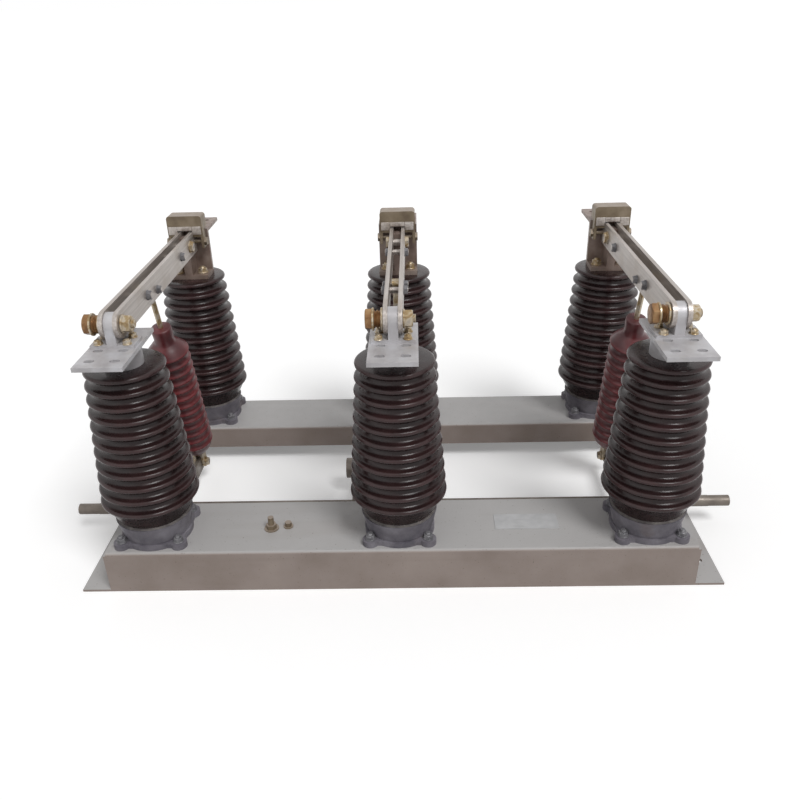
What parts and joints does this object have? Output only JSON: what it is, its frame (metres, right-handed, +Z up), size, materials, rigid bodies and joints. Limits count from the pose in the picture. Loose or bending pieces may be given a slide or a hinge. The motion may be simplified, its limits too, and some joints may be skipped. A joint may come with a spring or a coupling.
{
  "type": "disconnect switch",
  "caption": "Indoor disconnect switch: ribbed post insulators on a low steel frame carry double knife blades, which a cross shaft lifts through cranks and insulated pull rods.",
  "frame": {"origin": "middle of the four floor bolts, on the floor plane under the side rails", "axes": "+X along the beams and the operating shaft, +Y from the hinge terminals to the jaw terminals, +Z up"},
  "size_m": [1.44, 0.753, 0.622],
  "materials": {
    "frame_paint": "satin",
    "cast_base": "matte",
    "brown_glaze": "gloss",
    "red_resin": "gloss",
    "tinned_copper": "satin",
    "jaw_bronze": "satin",
    "clamp_steel": "satin",
    "plate_paint": "satin",
    "zinc_steel": "satin"
  },
  "bodies": {
    "frame": {"blank_plate": "plate_paint", "earth_bolt": "zinc_steel", "front_beam": "frame_paint", "front_insulator_bases": "cast_base", "front_insulator_centre": "brown_glaze", "front_insulator_left": "brown_glaze", "front_insulator_right": "brown_glaze", "front_terminal_centre": "tinned_copper", "front_terminal_left": "tinned_copper", "front_terminal_right": "tinned_copper", "hinge_bolt_centre": "zinc_steel", "hinge_bolt_left": "zinc_steel", "hinge_bolt_right": "zinc_steel", "left_side_rail": "frame_paint", "rear_beam": "frame_paint", "rear_insulator_bases": "cast_base", "rear_insulator_centre": "brown_glaze", "rear_insulator_left": "brown_glaze", "rear_insulator_right": "brown_glaze", "rear_jaw_centre": "jaw_bronze", "rear_jaw_left": "jaw_bronze", "rear_jaw_right": "jaw_bronze", "right_side_rail": "frame_paint", "shaft_bearings": "zinc_steel"},
    "shaft": {"crank_centre": "zinc_steel", "crank_left": "zinc_steel", "crank_right": "zinc_steel", "drive_lever": "zinc_steel", "operating_shaft": "zinc_steel"},
    "blade_left": {"blades_left": "tinned_copper", "contact_clamp_left": "clamp_steel"},
    "blade_centre": {"blades_centre": "tinned_copper", "contact_clamp_centre": "clamp_steel"},
    "blade_right": {"blades_right": "tinned_copper", "contact_clamp_right": "clamp_steel"},
    "rod_left": {"rod_clevis_left": "zinc_steel", "rod_insulator_left": "red_resin", "rod_link_left": "zinc_steel"},
    "rod_centre": {"rod_clevis_centre": "zinc_steel", "rod_insulator_centre": "red_resin", "rod_link_centre": "zinc_steel"},
    "rod_right": {"rod_clevis_right": "zinc_steel", "rod_insulator_right": "red_resin", "rod_link_right": "zinc_steel"}
  },
  "joints": [
    {"name": "shaft_turn", "type": "hinge", "parent": "frame", "child": "shaft", "pos_m": [0, -0.129, 0.062], "axis": [1, 0, 0], "range_deg": [0, 60]},
    {"name": "blade_left_swing", "type": "hinge", "parent": "frame", "child": "blade_left", "pos_m": [-0.5, -0.27, 0.56], "axis": [1, 0, 0], "range_deg": [0, 60]},
    {"name": "rod_left_pivot", "type": "hinge", "parent": "blade_left", "child": "rod_left", "pos_m": [-0.5, -0.058, 0.55], "axis": [1, 0, 0], "range_deg": [-60, 0]},
    {"name": "blade_centre_swing", "type": "hinge", "parent": "frame", "child": "blade_centre", "pos_m": [0, -0.27, 0.56], "axis": [1, 0, 0], "range_deg": [0, 60]},
    {"name": "rod_centre_pivot", "type": "hinge", "parent": "blade_centre", "child": "rod_centre", "pos_m": [0, -0.058, 0.55], "axis": [1, 0, 0], "range_deg": [-60, 0]},
    {"name": "blade_right_swing", "type": "hinge", "parent": "frame", "child": "blade_right", "pos_m": [0.5, -0.27, 0.56], "axis": [1, 0, 0], "range_deg": [0, 60]},
    {"name": "rod_right_pivot", "type": "hinge", "parent": "blade_right", "child": "rod_right", "pos_m": [0.5, -0.058, 0.55], "axis": [1, 0, 0], "range_deg": [-60, 0]}
  ],
  "couplings": [
    {"joint": "blade_left_swing", "follows": "shaft_turn", "ratio": 1},
    {"joint": "rod_left_pivot", "follows": "shaft_turn", "ratio": -1},
    {"joint": "blade_centre_swing", "follows": "shaft_turn", "ratio": 1},
    {"joint": "rod_centre_pivot", "follows": "shaft_turn", "ratio": -1},
    {"joint": "blade_right_swing", "follows": "shaft_turn", "ratio": 1},
    {"joint": "rod_right_pivot", "follows": "shaft_turn", "ratio": -1}
  ]
}
